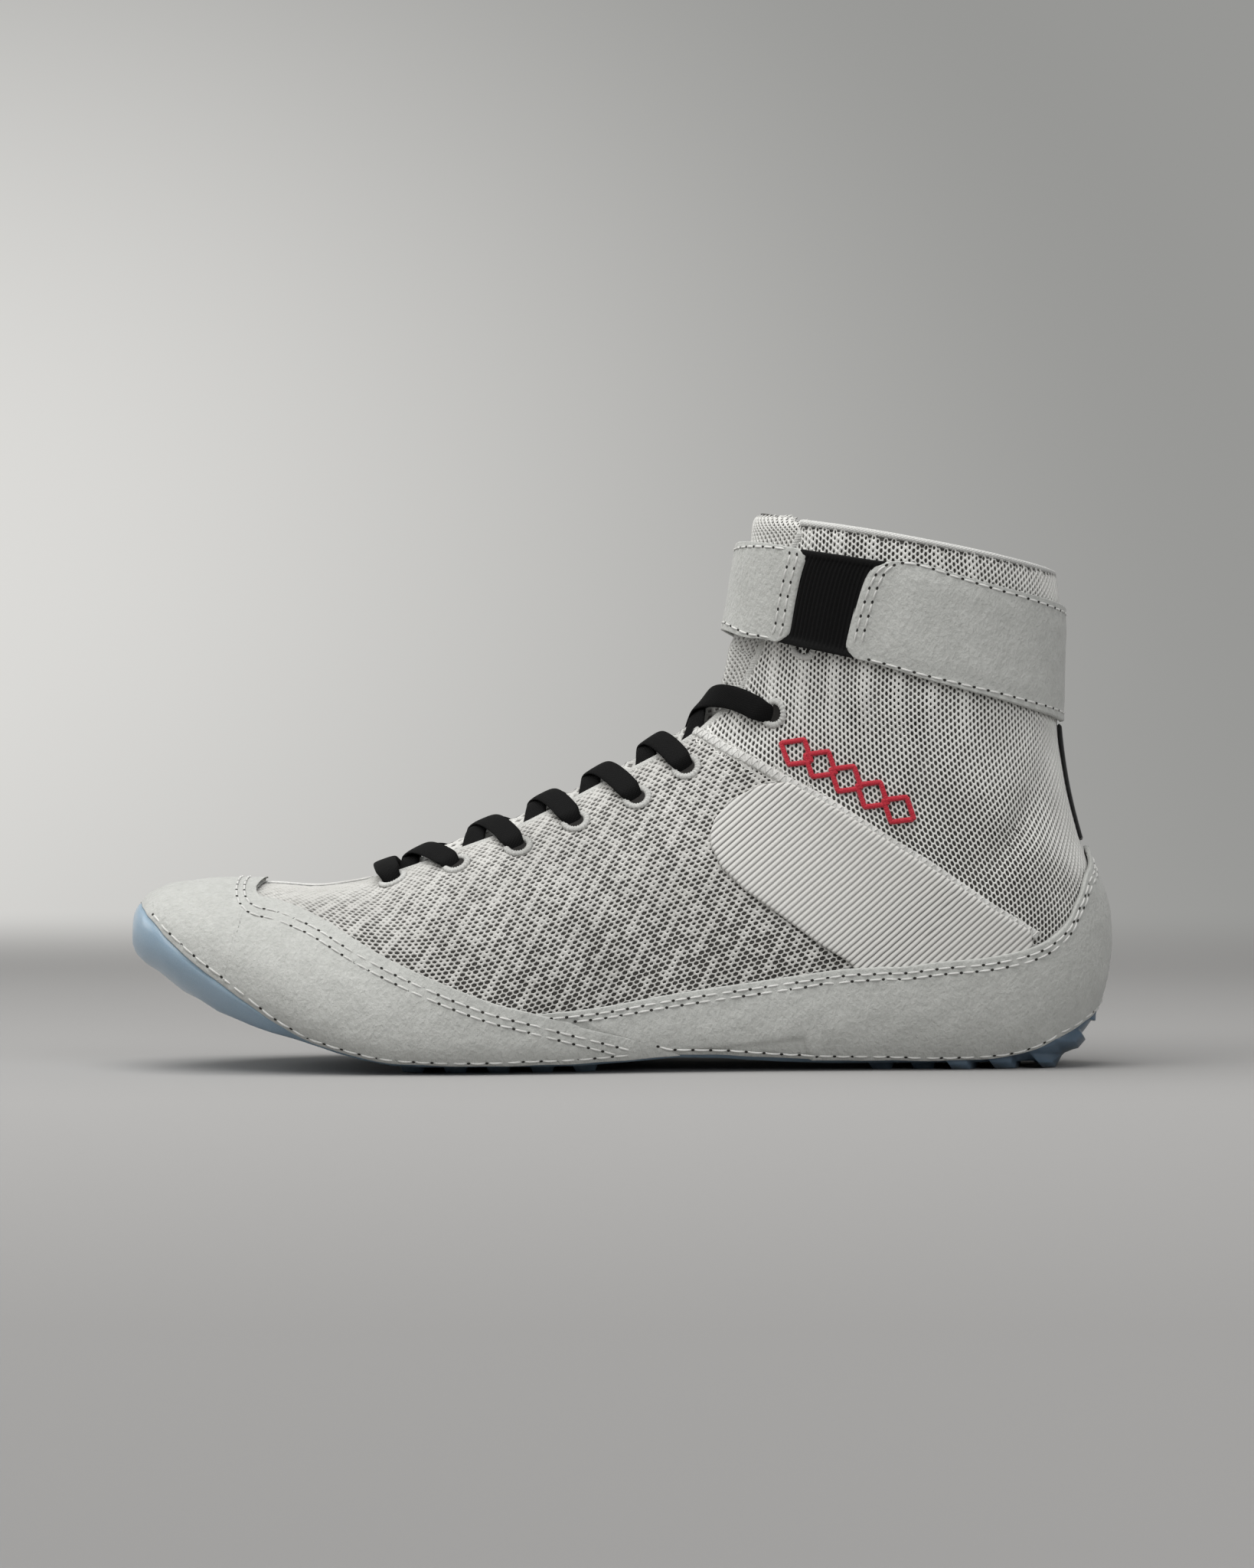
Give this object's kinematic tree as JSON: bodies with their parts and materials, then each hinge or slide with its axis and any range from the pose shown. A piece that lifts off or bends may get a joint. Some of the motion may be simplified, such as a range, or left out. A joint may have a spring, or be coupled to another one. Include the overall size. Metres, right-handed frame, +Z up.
{
  "type": "wrestling shoe",
  "caption": "Ankle-high wrestling shoe for the right foot, with mesh upper, suede toe and heel guards, laced throat, elastic ankle strap and thin lugged rubber sole.",
  "frame": {"origin": "on the floor under the middle of the shoe's box", "axes": "+X from toe to heel, +Y to the outer (lateral) side, +Z up"},
  "size_m": [0.2863, 0.1007, 0.1629],
  "materials": {
    "mesh_fabric": "double-layer athletic mesh over a dark lining, matt",
    "binding_tape": "folded woven binding tape, matt",
    "sole_rubber": "moulded translucent blue-grey rubber, satin",
    "insole_foam": "foam insole under a knitted cover, matt",
    "suede": "light grey split suede with a short nap",
    "rib_knit": "diagonally ribbed knit, matt",
    "black_tape": "black woven tape, matt",
    "elastic": "black ribbed elastic webbing, matt",
    "eyelet_thread": "embroidered eyelet thread with a slight sheen",
    "lace_cord": "flat black woven lace, matt"
  },
  "bodies": {
    "root": {"upper": "mesh_fabric", "collar_piping": "binding_tape", "outsole": "sole_rubber", "insole": "insole_foam", "tongue": "mesh_fabric", "toe_guard": "suede", "heel_guard": "suede", "rib_panel_medial": "rib_knit", "rib_panel_lateral": "rib_knit", "backstay": "black_tape", "strap_rear": "suede", "strap_elastic": "elastic", "strap_front": "suede", "strap_landing": "black_tape", "eyelet_medial_1": "eyelet_thread", "eyelet_lateral_1": "eyelet_thread", "eyelet_medial_2": "eyelet_thread", "eyelet_lateral_2": "eyelet_thread", "eyelet_medial_3": "eyelet_thread", "eyelet_lateral_3": "eyelet_thread", "eyelet_medial_4": "eyelet_thread", "eyelet_lateral_4": "eyelet_thread", "eyelet_medial_5": "eyelet_thread", "eyelet_lateral_5": "eyelet_thread", "eyelet_medial_6": "eyelet_thread", "eyelet_lateral_6": "eyelet_thread", "eyelet_medial_7": "eyelet_thread", "eyelet_lateral_7": "eyelet_thread", "eyelet_medial_8": "eyelet_thread", "eyelet_lateral_8": "eyelet_thread", "lace_crossing_1": "lace_cord", "lace_crossing_2": "lace_cord", "lace_crossing_3": "lace_cord", "lace_crossing_4": "lace_cord", "lace_crossing_5": "lace_cord", "lace_crossing_6": "lace_cord", "lace_crossing_7": "lace_cord"}
  },
  "joints": []
}
